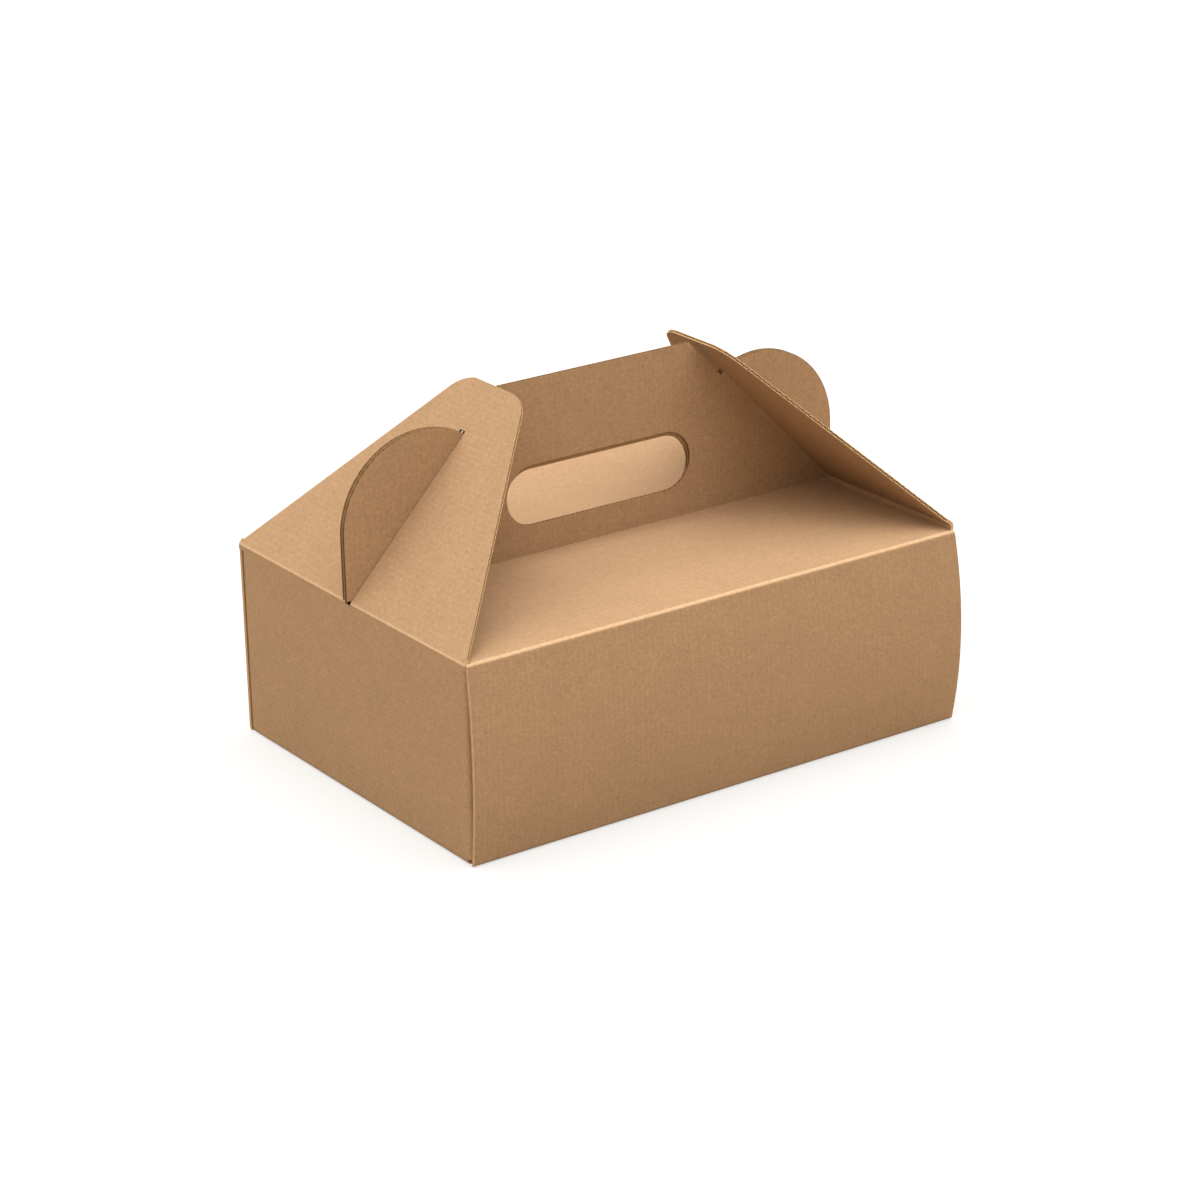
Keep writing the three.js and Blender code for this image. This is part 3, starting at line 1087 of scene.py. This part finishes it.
def to_crease(piece, side, crease_height):
    """Tilts a piece drawn flat along +X from its crease, and moves it to its end of the box."""
    only(piece)
    piece.rotation_euler = (0, -FLAP_ANGLE, 0 if side < 0 else math.pi)
    piece.location = hinge_at(side, crease_height) * MM
    settle()


def end_flap(name, side, crease_height, liner):
    reach = LID_HEIGHT + FLAP_REACH - crease_height
    die = flap_die(reach, -side)
    side_end = HALF_WIDTH + SELVAGE
    papers = (liner, cut_edge, medium)
    flap = fluted_board(name, FLAP_START, reach + SELVAGE, -side_end, side_end, die, *papers)
    remove(die)
    to_crease(flap, side, crease_height)
    return flap


left_flap = end_flap("left_flap_board", -1, LEFT_CREASE, liners["left_slope"])
right_flap = end_flap("right_flap_board", 1, RIGHT_CREASE, liners["right_slope"])

# %% [markdown]
# ## Creases
#
# Between an end wall and its flap the board is only creased, so it has to bend when the flap
# swings. A narrow strip of board fills that place.

# %% Crease strips
# rows of the strip, as distances from the hinge line; none lies on the bevel of the bend
CREASE_ROWS = [0.6, 1.0, 1.4, 1.8, 2.2, 2.6, CREASE_HALF]
CREASE_BEVEL = 0.4
CREASE_SEGMENTS = 4
# how far the slit runs on past the hinge line, measured in the flap's plane
SLIT_FOOT = 1.2


def crease_strip(name, side, crease_height, liner):
    """Six millimetres of board round the crease, drawn in the flap's own flat frame."""
    bend = math.pi / 2 - FLAP_ANGLE
    down = Vector((-math.cos(bend), 0, -math.sin(bend)))
    path = [Vector((row, 0, 0)) for row in reversed(CREASE_ROWS)] + [Vector()]
    path += [down * row for row in CREASE_ROWS]
    middle = -side * FLAP_BASE_SHIFT
    start = (path[0] + path[1]) / 2 + Vector((0, middle, 0))
    strip = sheet(name, ((path[0] - path[1]).x, FLAP_BASE), start * MM)
    pick("VERT", lambda at, _: at.x < path[1].x + NEAR)
    for here, there in zip(path[1:], path[2:]):
        pull(there - here)
    pick("EDGE", lambda at, _: abs(at.x) < NEAR and abs(at.z) < NEAR)
    bevel(CREASE_BEVEL, CREASE_SEGMENTS)
    bpy.ops.object.mode_set(mode="OBJECT")
    thicken(strip, BOARD, 0)
    slit = slit_block(-SLIT_FOOT, PAST_DIE)
    cut(strip, slit)
    remove(slit)
    # the bend's upward faces get the lighter fold liner, partly a painted highlight
    surfaces(
        strip,
        (cut_edge, lambda normal, _: abs(normal.y) > 0.7),
        (fold_stretch_and_highlight, lambda normal, _: normal.z > 0 and -0.65 < normal.x < -0.03),
        (liner, None),
    )
    print(closed(strip))
    to_crease(strip, side, crease_height)
    return strip


left_crease = crease_strip("left_crease_strip", -1, LEFT_CREASE, liners["left_slope"])
right_crease = crease_strip("right_crease_strip", 1, RIGHT_CREASE, liners["right_slope"])

# %% [markdown]
# ## Smooth shading and bodies
#
# Folds are shaded smooth and cut edges stay crisp. Each piece then rides on its CAD body: the
# carton, or one of the two flaps. The crease strips only have their place baked into their mesh.

# %% Ride on the CAD bodies
SMOOTH_DEGREES = 32
carton_pieces = [strip, front_handle, back_handle, left_wall, right_wall]

for piece in carton_pieces + [left_flap, right_flap, left_crease, right_crease]:
    only(piece)
    bpy.ops.object.shade_smooth_by_angle(angle=math.radians(SMOOTH_DEGREES))

for piece in carton_pieces:
    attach(piece, "carton")
    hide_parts("folded_sheet")
for piece, body, node in (
    (left_flap, "left_flap", "left_end_flap"),
    (right_flap, "right_flap", "right_end_flap"),
):
    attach(piece, body)
    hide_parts(node)
for piece, body, side, height in (
    (left_crease, "left_flap", -1, LEFT_CREASE),
    (right_crease, "right_flap", 1, RIGHT_CREASE),
):
    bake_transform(piece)

# %% [markdown]
# ## View transform
#
# The script leaves the view transform at Standard, where a colour renders as it is written.

# %% Finish
bpy.context.scene.view_settings.view_transform = "Standard"
